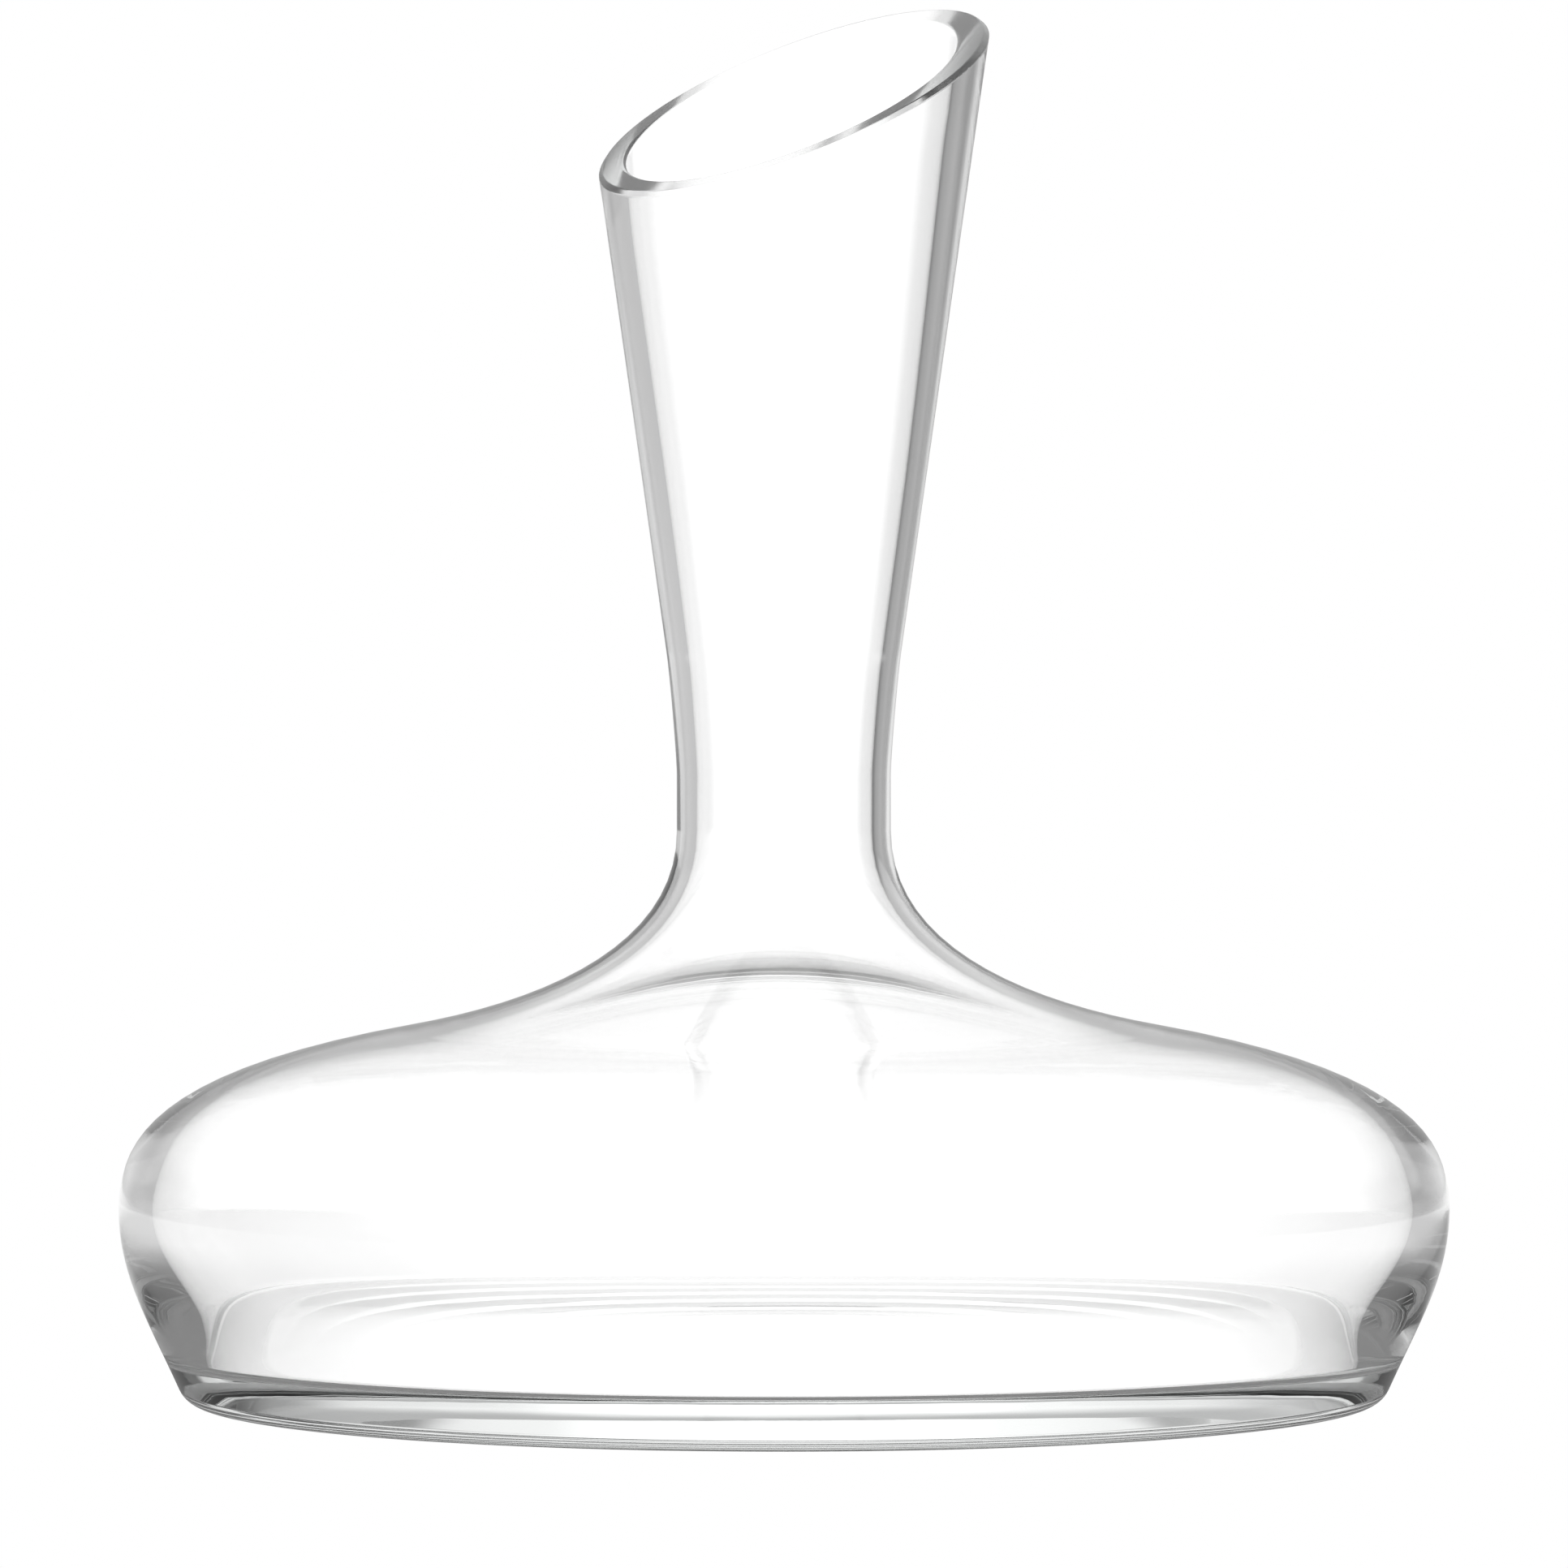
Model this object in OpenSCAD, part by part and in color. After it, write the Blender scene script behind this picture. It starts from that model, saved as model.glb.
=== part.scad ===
// Wine decanter: one vessel of clear mouth-blown glass, with a wide low bowl for airing the wine,
// a narrow throat, and a flared neck whose mouth is cut and ground on a slant.
//
// Millimetres. +Z is up along the vessel's axis, and the origin is at the middle of the base, on the
// surface that the decanter stands on. -Y is the front.
//
// The section through the glass is drawn once and spun round the axis. Its outside and its inside are
// each a chain of stations. A station is a point of the outline, the direction in which the outline
// travels there, and how far that direction is held before and after the point.

/* [Mouth] */
// Height at which the slanted mouth crosses the axis
mouth_height = 233.7; // [200:0.1:260]
// Outer radius of the neck at that height
mouth_radius = 35.2; // [30:0.1:42]
// Angle between the plane of the mouth and the level
mouth_tilt = 26.3; // [0:0.1:35]
// Direction of the mouth's high side, turned from +X towards +Y
mouth_turn = 42.5; // [0:0.5:360]

/* [Neck] */
// Height at which the straight flare of the neck starts
flare_height = 135.5; // [125:0.5:150]
// Lean of the straight flare, outwards from the upright
flare_lean = 8.1; // [6:0.1:9]
// Outer radius of the throat, the narrowest stretch
throat_radius = 19.3; // [18:0.1:21]
// Height at which the throat starts
throat_height = 103; // [98:0.5:108]
// Length of the throat, which is a true cylinder
throat_length = 10; // [6:0.5:14]

/* [Bowl] */
// Outer radius of the bowl at its widest
bowl_radius = 120; // [114:0.5:128]
// Height of the widest place
bowl_height = 35; // [30:0.5:38]
// Radius of the place where the shoulder turns from round to hollow
shoulder_radius = 69.5; // [60:0.5:76]
// Height of that place
shoulder_height = 67.2; // [64:0.1:72]
// Slope of the shoulder there, down and outwards from the level
shoulder_slope = 10.4; // [6:0.1:14]

/* [Base] */
// Radius at which the ground foot ring ends and the heel starts
foot_radius = 105; // [100:0.5:108]
// Width of the flat foot ring
foot_width = 8; // [4:0.5:14]
// Radius of the rounded heel
heel_radius = 4.6; // [2:0.1:7]
// Lean of the wall just above the heel, outwards from the upright
heel_lean = 24; // [18:0.5:28]
// Rise of the hollow underside at the axis
punt_rise = 2; // [0.5:0.1:4]

/* [Glass thickness] */
// Thickness of the glass under the flat floor, measured from the foot ring's plane
floor_height = 10.1; // [8:0.1:12]
// Radius at which the flat floor ends
floor_radius = 103.2; // [99:0.1:104]
// Rounding between the floor and the wall
corner_radius = 2.5; // [1.5:0.1:5]
// Wall at the widest place of the bowl
bowl_wall = 6.2; // [4:0.1:7]
// Wall on the shoulder
shoulder_wall = 4.1; // [2.5:0.1:4.5]
// Wall of the throat
throat_wall = 3.4; // [2.5:0.1:4.5]
// Wall of the neck where the straight flare starts
flare_wall = 3.6; // [2.8:0.1:4.5]
// Wall of the neck where the mouth crosses the axis
mouth_wall = 5.4; // [4:0.1:7]

/* [Smoothness] */
// Straight pieces that make up each curve of the section
curve_steps = 16; // [8:1:24]
// Sides that the spun vessel is drawn with
spin_sides = 180; // [60:12:360]

/* [Hidden] */

level = 0;       // direction of travel: outwards
upright = 90;    // direction of travel: up
inwards = 180;   // direction of travel: back towards the axis

flare = upright - flare_lean;
shoulder = inwards - shoulder_slope;

// How far each station's direction is held, before and after the point, up the outside
heel_hold = 13;
bowl_hold = [11.7, 12.2];
shoulder_hold = [45, 29.4];
throat_hold = [19.6, 3];
flare_hold = 5;
// The same up the inside
corner_hold = corner_radius * 4 / 3 * tan((upright - heel_lean) / 4);
wall_hold = 9;
inner_bowl_hold = [9, 10];
inner_shoulder_hold = [38, 32];
inner_throat_hold = [21, 3];

heel_end = [foot_radius, heel_radius] + heel_radius * [cos(heel_lean), -sin(heel_lean)];
floor_end = [floor_radius, floor_height];
wall_start = ahead(floor_end + [0, corner_radius], -heel_lean, corner_radius);
flare_start = [neck_radius(flare_height), flare_height];
neck_top = mouth_height + (mouth_radius + 10) * tan(mouth_tilt) + 2;
throat_end = throat_height + throat_length;
cut_size = 3 * bowl_radius;

// Outer radius of the neck's straight flare at a height
function neck_radius(z) = mouth_radius + (z - mouth_height) * tan(flare_lean);

// Wall of the straight flare at a height, measured level
function neck_wall(z) =
    flare_wall + (mouth_wall - flare_wall) * (z - flare_height) / (mouth_height - flare_height);

// Point at a distance from p, in a direction of travel
function ahead(p, direction, distance) = p + distance * [cos(direction), sin(direction)];

// Point at share t of the way along the cubic curve with these four control points
function on_cubic(a, b, c, d, t) =
    pow(1 - t, 3) * a + 3 * t * pow(1 - t, 2) * b + 3 * t * t * (1 - t) * c + pow(t, 3) * d;

// A station: its point, its direction of travel, and how far that is held before and after
function station(p, direction, before, after) = [p, direction, before, after];

// Points of the smooth line from one station to the next. With nothing held it is straight.
function between(s, e) =
    s[3] + e[2] == 0 ? [e[0]] :
    [for (i = [1 : curve_steps])
        on_cubic(s[0], ahead(s[0], s[1], s[3]), ahead(e[0], e[1], -e[2]), e[0], i / curve_steps)];

// Points of a whole chain of stations
function chain(stations) =
    concat([stations[0][0]], [for (k = [1 : len(stations) - 1]) each between(stations[k - 1], stations[k])]);

// Rounded heel, from the foot ring's edge to the start of the wall
function heel() =
    [for (i = [0 : curve_steps / 2 - 1])
        let (a = -90 + (90 - heel_lean) * i / (curve_steps / 2))
            [foot_radius, heel_radius] + heel_radius * [cos(a), sin(a)]];

// Hollow underside: a shallow arc from the axis to the inner edge of the foot ring
function punt() =
    let (edge = foot_radius - foot_width, arc = (edge * edge + punt_rise * punt_rise) / (2 * punt_rise))
        [for (i = [0 : curve_steps])
            let (r = edge * i / curve_steps) [r, punt_rise - arc + sqrt(arc * arc - r * r)]];

function outside() = chain([
    station(heel_end, upright - heel_lean, 0, heel_hold),
    station([bowl_radius, bowl_height], upright, bowl_hold[0], bowl_hold[1]),
    station([shoulder_radius, shoulder_height], shoulder, shoulder_hold[0], shoulder_hold[1]),
    station([throat_radius, throat_height], upright, throat_hold[0], 0),
    station([throat_radius, throat_end], upright, 0, throat_hold[1]),
    station(flare_start, flare, flare_hold, 0),
    station([neck_radius(neck_top), neck_top], flare, 0, 0)]);

function inside() = chain([
    station([0, floor_height], level, 0, 0),
    station(floor_end, level, 0, corner_hold),
    station(wall_start, upright - heel_lean, corner_hold, wall_hold),
    station([bowl_radius - bowl_wall, bowl_height], upright, inner_bowl_hold[0], inner_bowl_hold[1]),
    station(ahead([shoulder_radius, shoulder_height], shoulder + 90, shoulder_wall), shoulder,
        inner_shoulder_hold[0], inner_shoulder_hold[1]),
    station([throat_radius - throat_wall, throat_height], upright, inner_throat_hold[0], 0),
    station([throat_radius - throat_wall, throat_end], upright, 0, inner_throat_hold[1]),
    station(flare_start - [flare_wall, 0], flare, flare_hold, 0),
    station([neck_radius(neck_top) - neck_wall(neck_top), neck_top], flare, 0, 0)]);

function reversed(points) = [for (i = [len(points) - 1 : -1 : 0]) points[i]];

// Everything above the slanted plane of the mouth
module above_mouth() {
    translate([0, 0, mouth_height])
        rotate([0, -mouth_tilt, mouth_turn])
            translate([-cut_size / 2, -cut_size / 2, 0])
                cube(cut_size);
}

module glass_vessel() {
    color("whitesmoke", 0.45)
        difference() {
            rotate_extrude($fn = spin_sides)
                polygon(concat(punt(), heel(), outside(), reversed(inside())));
            above_mouth();
        }
}

glass_vessel();
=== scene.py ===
"""Wine decanter in clear mouth-blown glass.

The vessel is turned from one section through its glass, whose outside and inside are chains of
stations, and the neck is cut on a slant. +Z is up along the vessel's axis, -Y is the front, and the
origin is at the middle of the base. Lengths are metres and angles are radians.
"""

import math
from collections import namedtuple

import bmesh
import bpy
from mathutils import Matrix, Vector


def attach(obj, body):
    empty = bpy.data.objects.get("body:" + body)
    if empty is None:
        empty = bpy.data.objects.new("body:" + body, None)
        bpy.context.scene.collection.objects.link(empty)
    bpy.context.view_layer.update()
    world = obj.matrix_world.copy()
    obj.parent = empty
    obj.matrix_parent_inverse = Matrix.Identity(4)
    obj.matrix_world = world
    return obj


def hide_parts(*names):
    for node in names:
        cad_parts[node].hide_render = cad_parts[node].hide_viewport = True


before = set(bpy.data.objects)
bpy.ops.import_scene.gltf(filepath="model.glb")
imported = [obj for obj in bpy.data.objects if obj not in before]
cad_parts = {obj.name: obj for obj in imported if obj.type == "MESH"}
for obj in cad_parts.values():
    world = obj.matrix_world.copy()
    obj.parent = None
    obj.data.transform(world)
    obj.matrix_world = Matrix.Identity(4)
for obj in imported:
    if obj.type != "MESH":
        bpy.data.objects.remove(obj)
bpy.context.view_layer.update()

bl_info = {
    "name": "Wine decanter",
    "version": (1, 0, 0),
    "blender": (4, 5, 0),
    "location": "View3D > Sidebar > Decanter",
    "description": "Builds a mouth-blown wine decanter with a slanted ground mouth, and its stage",
    "category": "Add Mesh",
}

VESSEL_NODE = "glass_vessel"
MM = 0.001
LEVEL = 0.0
UPRIGHT = math.pi / 2
INWARDS = math.pi

# A place on the section's outline: where it is, which way the outline travels there, and how far
# that direction is held before and after it.
Station = namedtuple("Station", "point direction before after")

# How far the direction is held, before and after each place, up the outside
HEEL_HOLD = 13 * MM
BOWL_HOLD = (11.7 * MM, 12.2 * MM)
SHOULDER_HOLD = (45 * MM, 29.4 * MM)
THROAT_HOLD = (19.6 * MM, 3 * MM)
FLARE_HOLD = 5 * MM
# The same up the inside
WALL_HOLD = 9 * MM
INNER_BOWL_HOLD = (9 * MM, 10 * MM)
INNER_SHOULDER_HOLD = (38 * MM, 32 * MM)
INNER_THROAT_HOLD = (21 * MM, 3 * MM)

# Points round the bevel and round the inner edge of the mouth
ARRIS_STEPS = 3
EDGE_STEPS = 5
# Easing at each side of the bevel, as a share of its width
ARRIS_EASE = 1 / 6

# How blown glass strays from a true round, as waves. Each has a share of the whole, a number of
# lobes round the vessel, a turn for each metre upwards, and a turn to start from.
STRAY_WAVES = ((1.0, 2, 22, 0.6), (0.6, 3, -31, 2.1), (0.35, 5, 58, 4.0))
# Height over which it dies out at the foot
STRAY_FADE = 20 * MM
# Share of it that the outside has, and how far round the inside's is from the outside's
OUTSIDE_SHARE = 0.5
INSIDE_TURN = 1.3

# Points nearer together than this are one point, and edges shorter than this are none
SAME_POINT = 1e-7
NO_EDGE = 1e-8
# Faces that meet at more than this have a crisp edge between them
CRISP_EDGE = math.radians(28)

# Height of the foot ring's worn part, from where the wear starts to where it is full
WORN_FOOT = (0.15 * MM, 0.05 * MM)
# Size of the marks that polishing and wear leave. Real ones are about a tenth of this, too fine to see.
MARK_SIZE = 0.8 * MM
# Least and most that the marks multiply the roughness by
MARK_RANGE = (0.6, 1.4)

# The table: its sides, its gap under the vessel, the share of its radius where it starts to fade
# away, and how far the painted shade round the foot spreads, as a multiple of its radius
TABLE_SIDES = 96
TABLE_GAP = 0.2 * MM
TABLE_FADE = 0.6
SHADE_SPREAD = 1.6

# Light bent or mirrored less often than this hasn't been bent or mirrored at all
NOT_ONCE = 0.5
# Light bent more often than this has crossed both walls of the vessel
CROSSED = 3.5
# Light that has met glass more often than this has been mirrored on and on inside the thick base
MIRRORED_ON = 4.5
# Brighter and less bright part of the table far from the foot, as multiples of the flags' tone
FAR_TABLE = (1.4, 1.2)

# Parts of the tent by elevation: degrees where the change starts and ends, and values before and
# after. Light mirrored along the thick base leaves it at about 5 or 24 degrees.
ELEVATIONS = {
    "low": (6, 4, 0, 1),
    "ceiling": (45, 65, 0, 1),
    "level": (12, 22, 1, 0),
    "base_from": (16, 19, 0, 1),
    "base_to": (29, 33, 1, 0),
}
# Degrees between which the flags fade overhead, and between which glanced light turns white
FLAGS_FADE = (15, 45)
GLANCE_RISE = (10, 20)


# ---------------------------------------------------------------------------------------------
# Sizes and colours that a user would change


def length(name, description, default_mm):
    """A length property. Its default is given in millimetres, and it is held in metres."""
    return bpy.props.FloatProperty(
        name=name, description=description, default=default_mm * MM, min=0.0, precision=5,
        unit="LENGTH", subtype="DISTANCE")


def angle(name, description, default_deg):
    """An angle property. Its default is given in degrees, and it is held in radians."""
    return bpy.props.FloatProperty(
        name=name, description=description, default=math.radians(default_deg),
        unit="ROTATION", subtype="ANGLE")


def number(name, description, default):
    """A plain number, 0 or more."""
    return bpy.props.FloatProperty(name=name, description=description, default=default, min=0.0)


def hex_colour(name, description, default):
    """A colour property, held as an sRGB hex value."""
    return bpy.props.StringProperty(name=name, description=description, default=default)


class DecanterShape(bpy.types.PropertyGroup):
    """Driving dimensions of the vessel, the same as in the CAD model."""

    mouth_height: length("Mouth height", "Height at which the slanted mouth crosses the axis", 233.7)
    mouth_radius: length("Mouth radius", "Outer radius of the neck at that height", 35.2)
    mouth_tilt: angle("Mouth tilt", "Angle between the plane of the mouth and the level", 26.3)
    mouth_turn: angle("Mouth turn", "Direction of the mouth's high side, from +X towards +Y", 42.5)
    arris_width: length("Arris", "Width of the bevel ground on the mouth's outer edge", 1.2)
    inner_edge: length("Inner edge", "Rounding of the mouth's inner edge", 0.9)

    flare_height: length("Flare height", "Height at which the neck's straight flare starts", 135.5)
    flare_lean: angle("Flare lean", "Lean of the straight flare, outwards from the upright", 8.1)
    throat_radius: length("Throat radius", "Outer radius of the throat", 19.3)
    throat_height: length("Throat height", "Height at which the throat starts", 103.0)
    throat_length: length("Throat length", "Length of the cylindrical throat", 10.0)

    bowl_radius: length("Bowl radius", "Outer radius of the bowl at its widest", 120.0)
    bowl_height: length("Bowl height", "Height of the widest place", 35.0)
    shoulder_radius: length("Shoulder radius", "Radius where the shoulder turns hollow", 69.5)
    shoulder_height: length("Shoulder height", "Height of that place", 67.2)
    shoulder_slope: angle("Shoulder slope", "Slope of the shoulder there, from the level", 10.4)

    foot_radius: length("Foot radius", "Radius at which the foot ring ends and the heel starts", 105.0)
    foot_width: length("Foot width", "Width of the flat foot ring", 8.0)
    heel_radius: length("Heel radius", "Radius of the rounded heel", 4.6)
    heel_lean: angle("Heel lean", "Lean of the wall above the heel, from the upright", 24.0)
    punt_rise: length("Punt rise", "Rise of the hollow underside at the axis", 2.0)

    floor_height: length("Floor height", "Height of the flat floor above the table", 10.1)
    floor_radius: length("Floor radius", "Radius at which the flat floor ends", 103.2)
    corner_radius: length("Corner radius", "Rounding between the floor and the wall", 2.5)
    bowl_wall: length("Bowl wall", "Wall at the widest place of the bowl", 6.2)
    shoulder_wall: length("Shoulder wall", "Wall on the shoulder", 4.1)
    throat_wall: length("Throat wall", "Wall of the throat", 3.4)
    flare_wall: length("Flare wall", "Wall where the straight flare starts", 3.6)
    mouth_wall: length("Mouth wall", "Wall of the neck at the mouth", 5.4)

    drift: length("Drift", "How far the blown wall strays from a true round", 0.08)


class DecanterGlass(bpy.types.PropertyGroup):
    """Finish of the glass."""

    tint: hex_colour("Tint", "Colour that thick glass takes", "EFF4F2")
    tint_density: number("Tint density", "Strength of the tint for each metre of glass", 1.5)
    ior: number("Refractive index", "Soda-lime and crystal glass lie between 1.51 and 1.56", 1.52)
    wave_length: length("Wave length", "Length of the waves left in the blown wall", 14.0)
    wave_depth: length("Wave depth", "Depth of those waves", 0.005)
    rim_roughness: number("Rim roughness", "Roughness left by polishing the ground mouth", 0.22)
    foot_roughness: number("Foot roughness", "Roughness worn into the foot ring", 0.45)


class DecanterStudio(bpy.types.PropertyGroup):
    """Stage, light and camera."""

    camera_distance: length("Camera distance", "From the vessel's axis, in front", 2050.0)
    camera_height: length("Camera height", "Above the table", 172.5)
    aim_height: length("Aim height", "Height on the axis at the middle of the frame", 111.4)
    frame_width: length("Frame width", "Width that the frame covers at the axis", 282.9)

    table_radius: length("Table radius", "Radius of the table top", 1400.0)
    # The foot shade and the foot flag are painted shade: the table's glow is darker round the foot,
    # standing in for the vessel's shadow
    painted_shade_radius: length("Foot shade", "Radius of the table that the vessel shades", 150.0)

    flag: number("Flag", "Radiance of the grey flags that the wall mirrors", 0.5)
    painted_foot_tone: number("Foot flag", "Radiance of the shaded table round the foot", 0.24)
    dark_flag: number("Dark flag", "Radiance of the flag far round on the right", 0.15)
    strip: number("Strip", "Radiance of the gap between the flags, low behind the vessel", 1.0)
    overhead: number("Overhead", "Share of the flags' radiance that is left overhead", 0.6)
    tent: number("Tent", "Radiance of the tent straight behind the vessel", 1.25)
    table: number("Table", "Radiance of the table where the vessel doesn't shade it", 1.1)


# ---------------------------------------------------------------------------------------------
# The section through the glass


def ahead(point, direction, distance):
    """Point at a distance from another, in a direction of travel."""
    return point + distance * Vector((math.cos(direction), math.sin(direction)))


def on_cubic(a, b, c, d, t):
    """Point at share t of the way along the cubic curve with these four control points."""
    u = 1 - t
    return u * u * u * a + 3 * t * u * u * b + 3 * t * t * u * c + t * t * t * d


def between(start, end, steps):
    """Points of the smooth line from one station to the next, without the first."""
    a, d = start.point, end.point
    b = ahead(a, start.direction, start.after)
    c = ahead(d, end.direction, -end.before)
    if start.after + end.before == 0:
        b, c = a.lerp(d, 1 / 3), a.lerp(d, 2 / 3)
    return [on_cubic(a, b, c, d, (i + 1) / steps) for i in range(steps)]


def chain(stations, steps):
    """Points of a whole chain of stations."""
    points = [stations[0].point.copy()]
    for start, end in zip(stations, stations[1:]):
        points += between(start, end, steps)
    return points


def outside(s, steps):
    """Outline of the outside, from the end of the heel up to the start of the neck's flare."""
    heel_end = Vector((s.foot_radius, s.heel_radius)) + s.heel_radius * Vector(
        (math.cos(s.heel_lean), -math.sin(s.heel_lean)))
    flare_start = Vector((neck_radius(s, s.flare_height), s.flare_height))
    throat = Vector((s.throat_radius, s.throat_height))
    shoulder = Vector((s.shoulder_radius, s.shoulder_height))
    return chain([
        Station(heel_end, UPRIGHT - s.heel_lean, 0, HEEL_HOLD),
        Station(Vector((s.bowl_radius, s.bowl_height)), UPRIGHT, *BOWL_HOLD),
        Station(shoulder, INWARDS - s.shoulder_slope, *SHOULDER_HOLD),
        Station(throat, UPRIGHT, THROAT_HOLD[0], 0),
        Station(throat + Vector((0, s.throat_length)), UPRIGHT, 0, THROAT_HOLD[1]),
        Station(flare_start, UPRIGHT - s.flare_lean, FLARE_HOLD, 0),
    ], steps)


def inside(s, steps):
    """Outline of the inside, from the middle of the floor up to the start of the neck's flare."""
    flare_start = Vector((neck_radius(s, s.flare_height) - s.flare_wall, s.flare_height))
    throat = Vector((s.throat_radius - s.throat_wall, s.throat_height))
    slope = INWARDS - s.shoulder_slope
    shoulder = ahead(Vector((s.shoulder_radius, s.shoulder_height)), slope + UPRIGHT, s.shoulder_wall)
    floor_end = Vector((s.floor_radius, s.floor_height))
    lean = UPRIGHT - s.heel_lean
    wall_start = ahead(floor_end + Vector((0, s.corner_radius)), lean - UPRIGHT, s.corner_radius)
    hold = s.corner_radius * 4 / 3 * math.tan(lean / 4)
    return chain([
        Station(Vector((0, s.floor_height)), LEVEL, 0, 0),
        Station(floor_end, LEVEL, 0, hold),
        Station(wall_start, lean, hold, WALL_HOLD),
        Station(Vector((s.bowl_radius - s.bowl_wall, s.bowl_height)), UPRIGHT, *INNER_BOWL_HOLD),
        Station(shoulder, slope, *INNER_SHOULDER_HOLD),
        Station(throat, UPRIGHT, INNER_THROAT_HOLD[0], 0),
        Station(throat + Vector((0, s.throat_length)), UPRIGHT, 0, INNER_THROAT_HOLD[1]),
        Station(flare_start, UPRIGHT - s.flare_lean, FLARE_HOLD, 0),
    ], steps)


def heel(s, steps):
    """Rounded heel, from the foot ring's edge to the start of the wall."""
    middle = Vector((s.foot_radius, s.heel_radius))
    turn = UPRIGHT - s.heel_lean
    return [ahead(middle, -UPRIGHT + turn * i / steps, s.heel_radius) for i in range(steps)]


def punt(s, steps):
    """Hollow underside, from the axis to the inner edge of the foot ring."""
    edge = s.foot_radius - s.foot_width
    arc = (edge ** 2 + s.punt_rise ** 2) / (2 * s.punt_rise)
    radii = [edge * i / steps for i in range(steps + 1)]
    return [Vector((r, s.punt_rise - arc + math.sqrt(arc ** 2 - r ** 2))) for r in radii]


def neck_radius(s, z):
    """Outer radius of the neck's straight flare at a height."""
    return s.mouth_radius + (z - s.mouth_height) * math.tan(s.flare_lean)


def rounded(before, corner, after, steps):
    """Points of a corner eased from one side to the other."""
    return [before.lerp(corner, i / steps).lerp(corner.lerp(after, i / steps), i / steps)
            for i in range(steps + 1)]


def towards(a, b, distance):
    """Point at a distance from a, on the way to b."""
    return a + (b - a).normalized() * distance


def rim(s, outer_start, inner_start, tangent):
    """Section of the ground mouth at one place round it, from the neck's outside to its inside.

    tangent is the rise of the mouth's plane for each metre outwards there."""

    def cut(start, radius_at_axis):
        lean = (radius_at_axis - start.x) / (s.mouth_height - start.y)
        radius = radius_at_axis / (1 - lean * tangent)
        return Vector((radius, s.mouth_height + tangent * radius))

    outer = cut(outer_start, s.mouth_radius)
    inner = cut(inner_start, s.mouth_radius - s.mouth_wall)
    corner = (outer_start - outer).angle(inner - outer)
    side = s.arris_width / (2 * math.sin(corner / 2))
    low = towards(outer, outer_start, side)
    high = towards(outer, inner, side)
    ease = s.arris_width * ARRIS_EASE
    points = rounded(towards(low, outer_start, ease), low, towards(low, high, ease), ARRIS_STEPS)
    points += rounded(towards(high, low, ease), high, towards(high, inner, ease), ARRIS_STEPS)
    points += rounded(towards(inner, outer, s.inner_edge), inner,
                      towards(inner, inner_start, s.inner_edge), EDGE_STEPS)
    return points


def stray(s, turn, z):
    """How far blown glass strays outwards from a true round at one place. It dies out at the foot."""
    whole = sum(share * math.sin(lobes * turn + climb * z + start)
                for share, lobes, climb, start in STRAY_WAVES)
    return s.drift * whole * min(1.0, z / STRAY_FADE)


def section(s, turn, steps):
    """The whole section through the glass at one turn round the axis, as a list of points."""
    out_low = outside(s, steps)
    in_low = inside(s, steps)
    tangent = math.tan(s.mouth_tilt) * math.cos(turn - s.mouth_turn)
    mouth = rim(s, out_low[-1], in_low[-1], tangent)
    rise = [(i + 1) / (steps + 1) for i in range(steps)]
    neck_out = [out_low[-1].lerp(mouth[0], t) for t in rise]
    neck_in = [in_low[-1].lerp(mouth[-1], t) for t in reversed(rise)]
    wall_out = out_low + neck_out
    wall_in = neck_in + in_low[::-1]
    for point in wall_out:
        point.x += OUTSIDE_SHARE * stray(s, turn, point.y)
    for point in wall_in:
        fade = min(1.0, point.x / s.throat_radius)
        point.x += fade * stray(s, turn + INSIDE_TURN, point.y)
    return punt(s, steps) + heel(s, steps // 2) + wall_out + mouth + wall_in


# ---------------------------------------------------------------------------------------------
# Material


def linear(code):
    """An sRGB hex value as a linear RGBA colour."""
    values = [int(code[i:i + 2], 16) / 255 for i in (0, 2, 4)]
    return (*[v / 12.92 if v <= 0.04045 else ((v + 0.055) / 1.055) ** 2.4 for v in values], 1.0)


def add_node(tree, kind, settings=None, inputs=None, links=None, stops=()):
    """Adds a node with its settings, its inputs' values, links into its inputs, and a ramp's stops."""
    node = tree.nodes.new(kind)
    for name, value in (settings or {}).items():
        setattr(node, name, value)
    for key, value in (inputs or {}).items():
        node.inputs[key].default_value = value
    for key, socket in (links or {}).items():
        tree.links.new(socket, node.inputs[key])
    if stops:
        node.color_ramp.interpolation = "EASE"
        elements = node.color_ramp.elements
        while len(elements) < len(stops):
            elements.new(0.5)
        for element, (position, tone) in zip(elements, stops):
            element.position = position
            element.color = (tone, tone, tone, 1)
    return node


def new_tree(owner):
    """The empty node tree of a material or a world."""
    owner.use_nodes = True
    owner.node_tree.nodes.clear()
    return owner.node_tree


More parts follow.
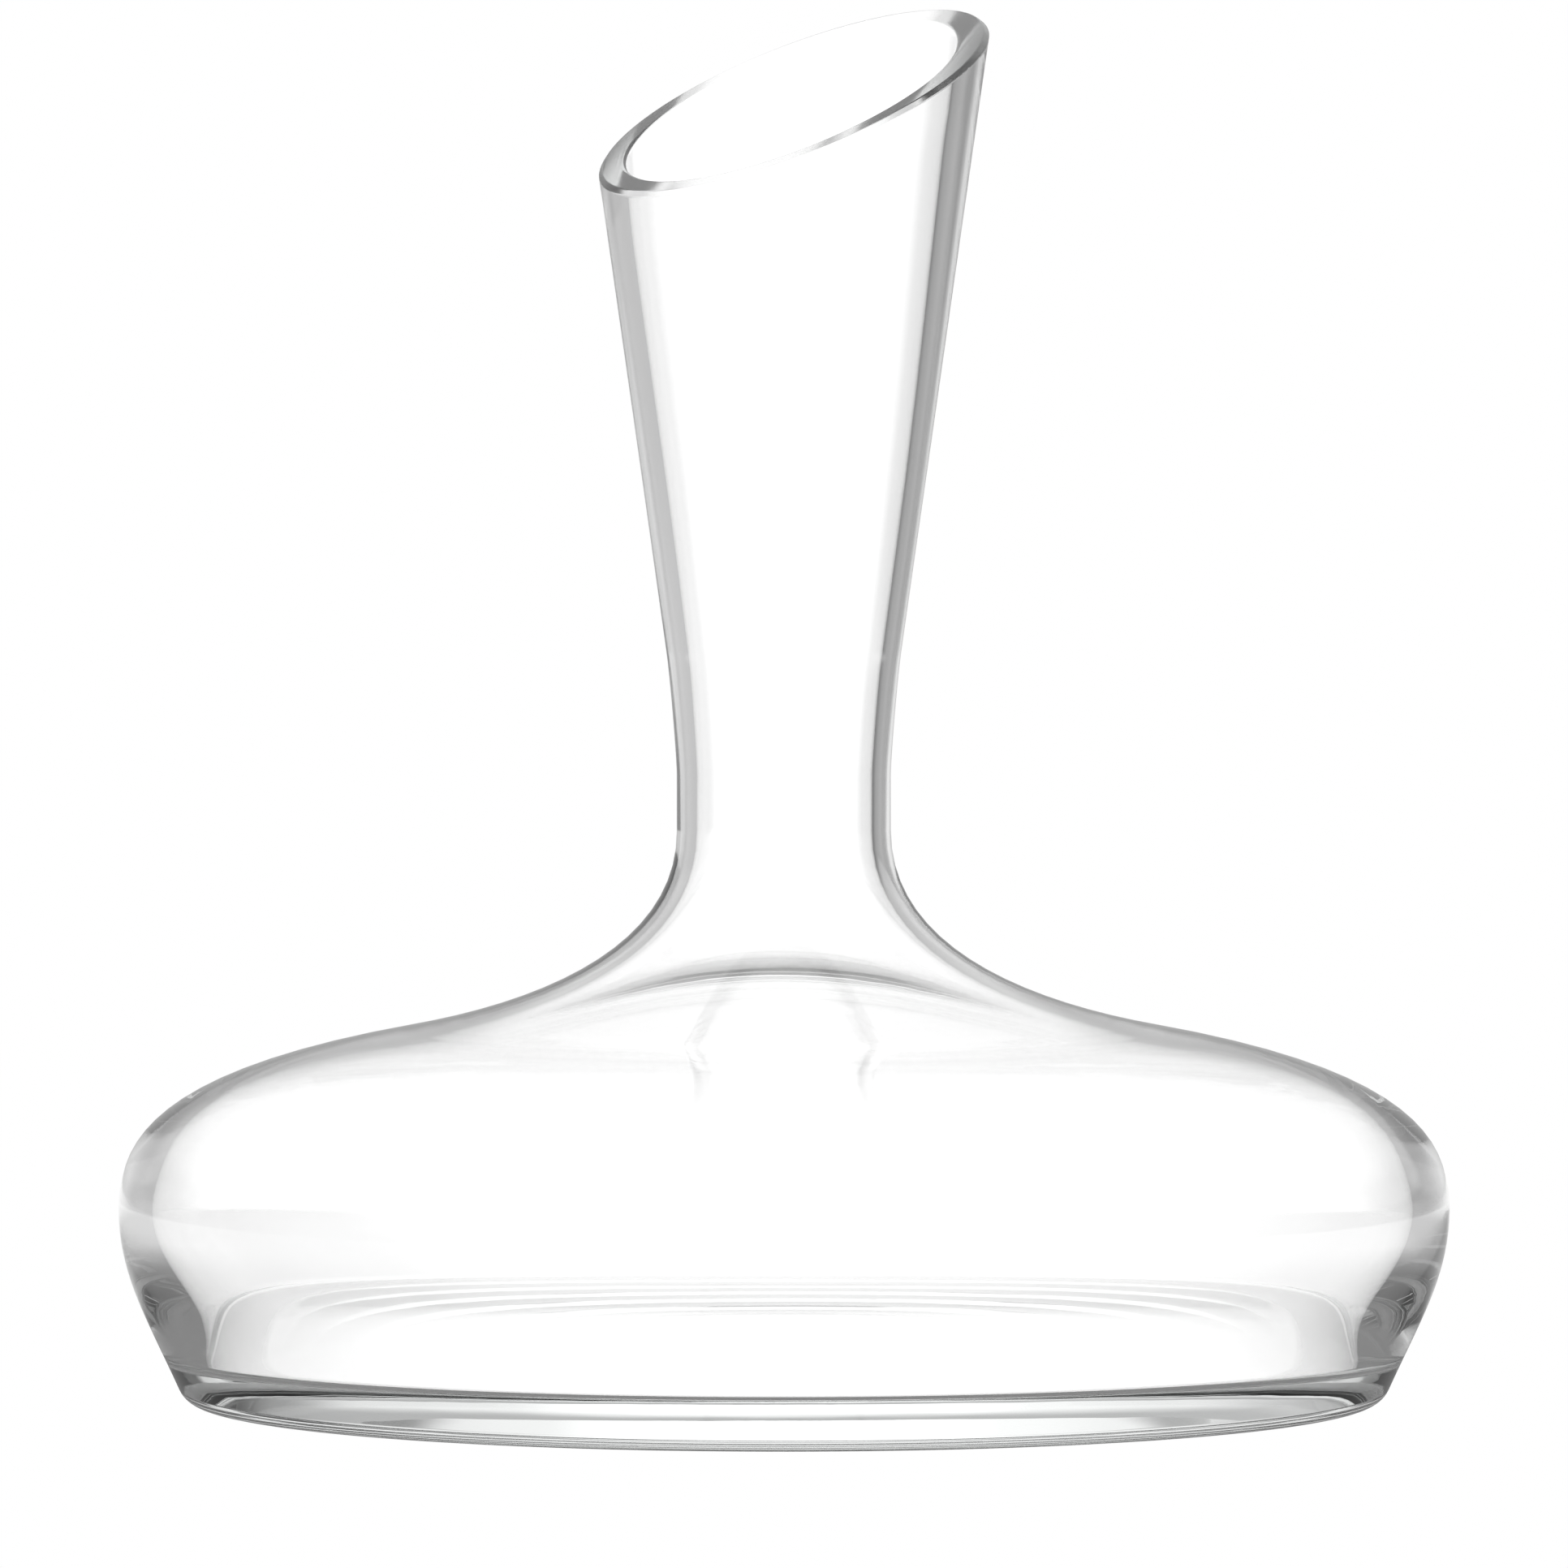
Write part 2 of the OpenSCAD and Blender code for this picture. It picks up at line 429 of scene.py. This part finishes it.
def blown_glass(look, shape):
    """Mouth-blown soda-lime glass, fire-polished: colourless, mirror-smooth and a little wavy.

    The ground mouth has been polished, so it is nearly clear with a soft sheen. The foot ring has
    fine wear from standing on tables."""
    material = bpy.data.materials.new("blown_glass_fire_polished")
    tree = new_tree(material)
    place = add_node(tree, "ShaderNodeTexCoord")
    waves = add_node(tree, "ShaderNodeTexNoise", inputs={"Scale": 1 / look.wave_length, "Detail": 1.0},
                     links={"Vector": place.outputs["Object"]})
    wavy = add_node(tree, "ShaderNodeBump", inputs={"Strength": 1.0, "Distance": look.wave_depth},
                    links={"Height": waves.outputs["Fac"]})
    marks = add_node(tree, "ShaderNodeTexNoise", inputs={"Scale": 1 / MARK_SIZE, "Detail": 2.0},
                     links={"Vector": place.outputs["Object"]})
    uneven = add_node(tree, "ShaderNodeMapRange",
                      inputs={"To Min": MARK_RANGE[0], "To Max": MARK_RANGE[1]},
                      links={"Value": marks.outputs["Fac"]})
    tilt, turn = shape.mouth_tilt, shape.mouth_turn
    normal = (-math.sin(tilt) * math.cos(turn), -math.sin(tilt) * math.sin(turn), math.cos(tilt))
    level = shape.mouth_height * math.cos(tilt)
    above = add_node(tree, "ShaderNodeVectorMath", {"operation": "DOT_PRODUCT"}, {1: normal},
                     {0: place.outputs["Object"]})
    rim_rough = add_node(
        tree, "ShaderNodeMapRange",
        inputs={"From Min": level - shape.arris_width, "From Max": level - 0.7 * shape.arris_width,
                "To Max": look.rim_roughness}, links={"Value": above.outputs["Value"]})
    parts = add_node(tree, "ShaderNodeSeparateXYZ", links={0: place.outputs["Object"]})
    foot_rough = add_node(
        tree, "ShaderNodeMapRange",
        inputs={"From Min": WORN_FOOT[0], "From Max": WORN_FOOT[1], "To Max": look.foot_roughness},
        links={"Value": parts.outputs["Z"]})
    rough = add_node(tree, "ShaderNodeMath", {"operation": "MAXIMUM"},
                     links={0: rim_rough.outputs["Result"], 1: foot_rough.outputs["Result"]})
    worn = add_node(tree, "ShaderNodeMath", {"operation": "MULTIPLY"},
                    links={0: rough.outputs[0], 1: uneven.outputs["Result"]})
    surface = add_node(
        tree, "ShaderNodeBsdfPrincipled",
        inputs={"Base Color": (1, 1, 1, 1), "Transmission Weight": 1.0, "IOR": look.ior},
        links={"Roughness": worn.outputs[0], "Normal": wavy.outputs["Normal"]})
    depth = add_node(tree, "ShaderNodeVolumeAbsorption", inputs={
        "Color": linear(look.tint), "Density": look.tint_density})
    add_node(tree, "ShaderNodeOutputMaterial", links={
        "Surface": surface.outputs["BSDF"], "Volume": depth.outputs["Volume"]})
    return material


# ---------------------------------------------------------------------------------------------
# Operators


class DECANTER_OT_blow_vessel(bpy.types.Operator):
    """Blow the glass vessel: turn its section round the axis and grind the slanted mouth"""

    bl_idname = "decanter.blow_vessel"
    bl_label = "Blow the vessel"

    sides: bpy.props.IntProperty(name="Sides", description="Places round the vessel", default=224)
    steps: bpy.props.IntProperty(name="Steps", description="Points along each curve", default=18)

    def execute(self, context):
        shape = context.scene.decanter_shape
        sections = [section(shape, 2 * math.pi * i / self.sides, self.steps) for i in range(self.sides)]
        count = len(sections[0])
        vertices = []
        for i, points in enumerate(sections):
            turn = 2 * math.pi * i / self.sides
            vertices += [(p.x * math.cos(turn), p.x * math.sin(turn), p.y) for p in points]
        faces = []
        for i in range(self.sides):
            here, there = i * count, (i + 1) % self.sides * count
            faces += [(here + k, there + k, there + k + 1, here + k + 1) for k in range(count - 1)]
        mesh = bpy.data.meshes.new("vessel")
        mesh.from_pydata(vertices, [], faces)
        tidy = bmesh.new()
        tidy.from_mesh(mesh)
        bmesh.ops.remove_doubles(tidy, verts=tidy.verts, dist=SAME_POINT)
        bmesh.ops.dissolve_degenerate(tidy, dist=NO_EDGE, edges=tidy.edges)
        bmesh.ops.recalc_face_normals(tidy, faces=tidy.faces)
        if any(not edge.is_manifold for edge in tidy.edges):
            raise RuntimeError("the vessel's glass isn't closed")
        tidy.to_mesh(mesh)
        tidy.free()
        mesh.shade_smooth()
        mesh.set_sharp_from_angle(angle=CRISP_EDGE)
        mesh.materials.append(blown_glass(context.scene.decanter_glass, shape))
        vessel = bpy.data.objects.new("vessel", mesh)
        context.scene.collection.objects.link(vessel)
        even = vessel.modifiers.new("even_normals", "WEIGHTED_NORMAL")
        even.keep_sharp = True
        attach(vessel, "root")
        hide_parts(VESSEL_NODE)
        return {"FINISHED"}


class DECANTER_OT_set_stage(bpy.types.Operator):
    """Set the stage: pale table top, light tent with grey flags, and the camera"""

    bl_idname = "decanter.set_stage"
    bl_label = "Set the stage"

    def execute(self, context):
        studio = context.scene.decanter_studio
        self.lay_table(context, studio)
        self.hang_tent(context, studio)
        self.place_camera(context, studio)
        return {"FINISHED"}

    def lay_table(self, context, studio):
        """Table top of opal acrylic, lit from below. Its glow is painted darker just round the vessel's
        foot, as shade standing in for the vessel's shadow.
        """
        mesh = bpy.data.meshes.new("table_top")
        disc = bmesh.new()
        bmesh.ops.create_circle(disc, cap_ends=True, segments=TABLE_SIDES, radius=studio.table_radius)
        disc.to_mesh(mesh)
        disc.free()
        material = bpy.data.materials.new("opal_acrylic_lit_from_below")
        tree = new_tree(material)
        place = add_node(tree, "ShaderNodeTexCoord")
        reach = add_node(tree, "ShaderNodeVectorMath", {"operation": "LENGTH"},
                         links={0: place.outputs["Object"]})
        turn = self.heading(tree, place.outputs["Object"])
        # Painted shade: within the foot shade's radius the table glows in darker tones, standing in for
        # the vessel's shadow, but for a bright strip straight behind the vessel
        clear_of_foot = add_node(
            tree, "ShaderNodeMapRange", {"interpolation_type": "SMOOTHSTEP"},
            {"From Min": studio.painted_shade_radius, "From Max": SHADE_SPREAD * studio.painted_shade_radius},
            {"Value": reach.outputs["Value"]}).outputs["Result"]
        strip, shade = studio.strip, studio.painted_foot_tone
        bright, dull = [share * studio.flag for share in FAR_TABLE]
        near = add_node(tree, "ShaderNodeValToRGB", links={0: turn}, stops=self.round_vessel(
            (-180, shade), (-50, shade), (-28, 0.7 * strip), (-14, strip), (14, strip),
            (28, 0.7 * strip), (50, shade), (180, shade)))
        far = add_node(tree, "ShaderNodeValToRGB", links={0: turn}, stops=self.round_vessel(
            (-180, bright), (-50, bright), (-32, bright), (-14, strip), (14, strip),
            (32, dull), (50, dull), (70, bright), (180, bright)))
        flags = add_node(tree, "ShaderNodeMix", {"data_type": "RGBA"}, links={
            0: clear_of_foot, 6: near.outputs["Color"], 7: far.outputs["Color"]}).outputs[2]
        path = add_node(tree, "ShaderNodeLightPath")
        unmirrored = add_node(tree, "ShaderNodeMath", {"operation": "LESS_THAN"}, {1: NOT_ONCE},
                              {0: path.outputs["Glossy Depth"]})
        straight = add_node(tree, "ShaderNodeMath", {"operation": "MULTIPLY"},
                            links={0: unmirrored.outputs[0], 1: clear_of_foot})
        crossed = add_node(tree, "ShaderNodeMath", {"operation": "GREATER_THAN"}, {1: CROSSED},
                           {0: path.outputs["Transmission Depth"]})
        through = add_node(tree, "ShaderNodeMath", {"operation": "MAXIMUM"},
                           links={0: crossed.outputs[0], 1: straight.outputs[0]})
        tent = add_node(tree, "ShaderNodeCombineColor",
                        inputs={0: studio.table, 1: studio.table, 2: studio.table})
        colour = self.surroundings(tree, path, through.outputs[0], flags, tent.outputs[0], flags)
        gone = add_node(tree, "ShaderNodeMapRange", {"interpolation_type": "SMOOTHSTEP"},
                        {"From Min": TABLE_FADE * studio.table_radius, "From Max": studio.table_radius},
                        {"Value": reach.outputs["Value"]})
        lamp = add_node(tree, "ShaderNodeEmission", links={"Color": colour})
        clear = add_node(tree, "ShaderNodeBsdfTransparent")
        both = add_node(tree, "ShaderNodeMixShader", links={
            0: gone.outputs["Result"], 1: lamp.outputs["Emission"], 2: clear.outputs["BSDF"]})
        add_node(tree, "ShaderNodeOutputMaterial", links={"Surface": both.outputs["Shader"]})
        mesh.materials.append(material)
        table = bpy.data.objects.new("table_top", mesh)
        table.location.z = -TABLE_GAP
        context.scene.collection.objects.link(table)

    def hang_tent(self, context, studio):
        """Light tent round the vessel, with the grey flags that its wall mirrors."""
        world = bpy.data.worlds.new("light_tent")
        context.scene.world = world
        tree = new_tree(world)
        place = add_node(tree, "ShaderNodeTexCoord")
        turn = self.heading(tree, place.outputs["Generated"])
        parts = add_node(tree, "ShaderNodeSeparateXYZ", links={0: place.outputs["Generated"]})
        by_height = {
            **ELEVATIONS,
            "fade": (*FLAGS_FADE, 1, studio.overhead),
            "glance": (*GLANCE_RISE, studio.flag, 1),
        }
        share = {}
        for name, (start, end, before, after) in by_height.items():
            rise = add_node(
                tree, "ShaderNodeMapRange", {"interpolation_type": "SMOOTHSTEP"},
                {"From Min": math.sin(math.radians(start)), "From Max": math.sin(math.radians(end)),
                 "To Min": before, "To Max": after}, {"Value": parts.outputs["Z"]})
            share[name] = rise.outputs["Result"]

        grey, dark, strip, bright = studio.flag, studio.dark_flag, studio.strip, studio.tent
        high_flags = add_node(tree, "ShaderNodeValToRGB", links={0: turn}, stops=self.round_vessel(
            (-180, grey), (-4, grey), (40, 0.9 * grey), (52, dark), (110, dark), (140, grey),
            (180, grey)))
        low_flags = add_node(tree, "ShaderNodeValToRGB", links={0: turn}, stops=self.round_vessel(
            (-180, grey), (-30, grey), (-22, 0.85 * grey), (-12, 0.65 * strip), (1, strip),
            (8, 0.85 * strip), (14, 0.8 * grey), (19, 0.45 * grey), (26, 0.5 * grey), (34, 0.7 * grey),
            (44, 0.6 * grey), (52, dark), (110, dark), (140, grey), (180, grey)))
        either_flags = add_node(tree, "ShaderNodeMix", {"data_type": "RGBA"}, links={
            0: share["low"], 6: high_flags.outputs["Color"], 7: low_flags.outputs["Color"]})
        flags = add_node(tree, "ShaderNodeVectorMath", {"operation": "SCALE"},
                         links={0: either_flags.outputs[2], 3: share["fade"]})
        sides = add_node(tree, "ShaderNodeValToRGB", links={0: turn}, stops=self.round_vessel(
            (-180, 1.05), (-85, 1.05), (-66, 0.8), (-50, 0.65), (-40, 0.75), (-28, 0.95), (-16, 1.05),
            (-10, bright), (10, bright), (18, 0.95), (30, 0.9), (42, 0.4), (52, 0.08), (85, 0.08),
            (105, 1.05), (180, 1.05)))
        tent = add_node(tree, "ShaderNodeMix", {"data_type": "RGBA"}, {7: (bright, bright, bright, 1)},
                        {0: share["ceiling"], 6: sides.outputs["Color"]})

        path = add_node(tree, "ShaderNodeLightPath")
        crossed = add_node(tree, "ShaderNodeMath", {"operation": "GREATER_THAN"}, {1: CROSSED},
                           {0: path.outputs["Transmission Depth"]})
        unmirrored = add_node(tree, "ShaderNodeMath", {"operation": "LESS_THAN"}, {1: NOT_ONCE},
                              {0: path.outputs["Glossy Depth"]})
        straight = add_node(tree, "ShaderNodeMath", {"operation": "MULTIPLY"},
                            links={0: unmirrored.outputs[0], 1: share["level"]})
        mirrored_on = add_node(tree, "ShaderNodeMath", {"operation": "GREATER_THAN"},
                               {1: MIRRORED_ON}, {0: path.outputs["Ray Depth"]})
        upper = add_node(tree, "ShaderNodeMath", {"operation": "MULTIPLY"},
                         links={0: share["base_from"], 1: share["base_to"]})
        windows = add_node(tree, "ShaderNodeMath", {"operation": "MAXIMUM"},
                           links={0: share["low"], 1: upper.outputs[0]})
        along_base = add_node(tree, "ShaderNodeMath", {"operation": "MULTIPLY"},
                              links={0: mirrored_on.outputs[0], 1: windows.outputs[0]})
        either = add_node(tree, "ShaderNodeMath", {"operation": "MAXIMUM"},
                          links={0: along_base.outputs[0], 1: straight.outputs[0]})
        through = add_node(tree, "ShaderNodeMath", {"operation": "MAXIMUM"},
                           links={0: crossed.outputs[0], 1: either.outputs[0]})
        colour = self.surroundings(
            tree, path, through.outputs[0], flags.outputs[0], tent.outputs[2], share["glance"])
        light = add_node(tree, "ShaderNodeBackground", links={"Color": colour})
        add_node(tree, "ShaderNodeOutputWorld", links={"Surface": light.outputs["Background"]})

    def surroundings(self, tree, path, through, flags, tent, glance):
        """Light that arrives from the table or the tent.

        A glass is lit in two goes: its middle against a bright tent, and its wall against grey flags.
        So light that the wall has mirrored inside itself comes from the flags, light that only glanced
        off the outside has a tone of its own, and light that went straight through or crossed the
        whole vessel comes from the tent. What is seen beside the glass is plain white."""
        inside = add_node(tree, "ShaderNodeMix", {"data_type": "RGBA"},
                          links={0: through, 6: flags, 7: tent})
        glanced = add_node(tree, "ShaderNodeMath", {"operation": "LESS_THAN"}, {1: NOT_ONCE},
                           {0: path.outputs["Transmission Depth"]})
        lit = add_node(tree, "ShaderNodeMix", {"data_type": "RGBA"},
                       links={0: glanced.outputs[0], 6: inside.outputs[2], 7: glance})
        beside = add_node(tree, "ShaderNodeMix", {"data_type": "RGBA"}, {7: (1, 1, 1, 1)},
                          {0: path.outputs["Is Camera Ray"], 6: lit.outputs[2]})
        return beside.outputs[2]

    def heading(self, tree, direction):
        """Heading of a direction as 0 to 1: 0.5 is straight behind the vessel, and more is right."""
        parts = add_node(tree, "ShaderNodeSeparateXYZ", links={0: direction})
        angle_behind = add_node(tree, "ShaderNodeMath", {"operation": "ARCTAN2"},
                                links={0: parts.outputs["X"], 1: parts.outputs["Y"]})
        turn = add_node(tree, "ShaderNodeMath", {"operation": "MULTIPLY_ADD"},
                        {1: 0.5 / math.pi, 2: 0.5}, {0: angle_behind.outputs[0]})
        return turn.outputs[0]

    def round_vessel(self, *tones):
        """A ramp's stops, from grey tones at degrees to the right of straight behind the vessel."""
        return [(degrees / 360 + 0.5, tone) for degrees, tone in tones]

    def place_camera(self, context, studio):
        """Camera in front, level with the neck. Light may pass many faces of glass on its way there."""
        lens = bpy.data.cameras.new("camera")
        camera = bpy.data.objects.new("camera", lens)
        context.scene.collection.objects.link(camera)
        camera.location = (0, -studio.camera_distance, studio.camera_height)
        sight = Vector((0, 0, studio.aim_height)) - camera.location
        camera.rotation_euler = sight.to_track_quat("-Z", "Y").to_euler()
        lens.lens = lens.sensor_width * sight.length / studio.frame_width
        context.scene.camera = camera
        context.scene.view_settings.view_transform = "Standard"
        context.scene.cycles.max_bounces = 32
        context.scene.cycles.transmission_bounces = 32
        context.scene.cycles.glossy_bounces = 16


class DECANTER_PT_panel(bpy.types.Panel):
    """Sidebar panel that lists the decanter's pieces and settings"""

    bl_label = "Wine decanter"
    bl_idname = "DECANTER_PT_panel"
    bl_space_type = "VIEW_3D"
    bl_region_type = "UI"
    bl_category = "Decanter"

    def draw(self, context):
        for operator in OPERATORS:
            self.layout.operator(operator.bl_idname)
        for name, group in SETTINGS.items():
            box = self.layout.box()
            for field in group.__annotations__:
                box.prop(getattr(context.scene, name), field)


SETTINGS = {
    "decanter_shape": DecanterShape,
    "decanter_glass": DecanterGlass,
    "decanter_studio": DecanterStudio,
}
OPERATORS = (DECANTER_OT_set_stage, DECANTER_OT_blow_vessel)
CLASSES = (*SETTINGS.values(), *OPERATORS, DECANTER_PT_panel)


def register():
    for cls in CLASSES:
        bpy.utils.register_class(cls)
    for name, group in SETTINGS.items():
        setattr(bpy.types.Scene, name, bpy.props.PointerProperty(type=group))


def unregister():
    for name in SETTINGS:
        delattr(bpy.types.Scene, name)
    for cls in reversed(CLASSES):
        bpy.utils.unregister_class(cls)


def main():
    register()
    bpy.ops.decanter.set_stage()
    bpy.ops.decanter.blow_vessel()


if __name__ == "__main__":
    main()
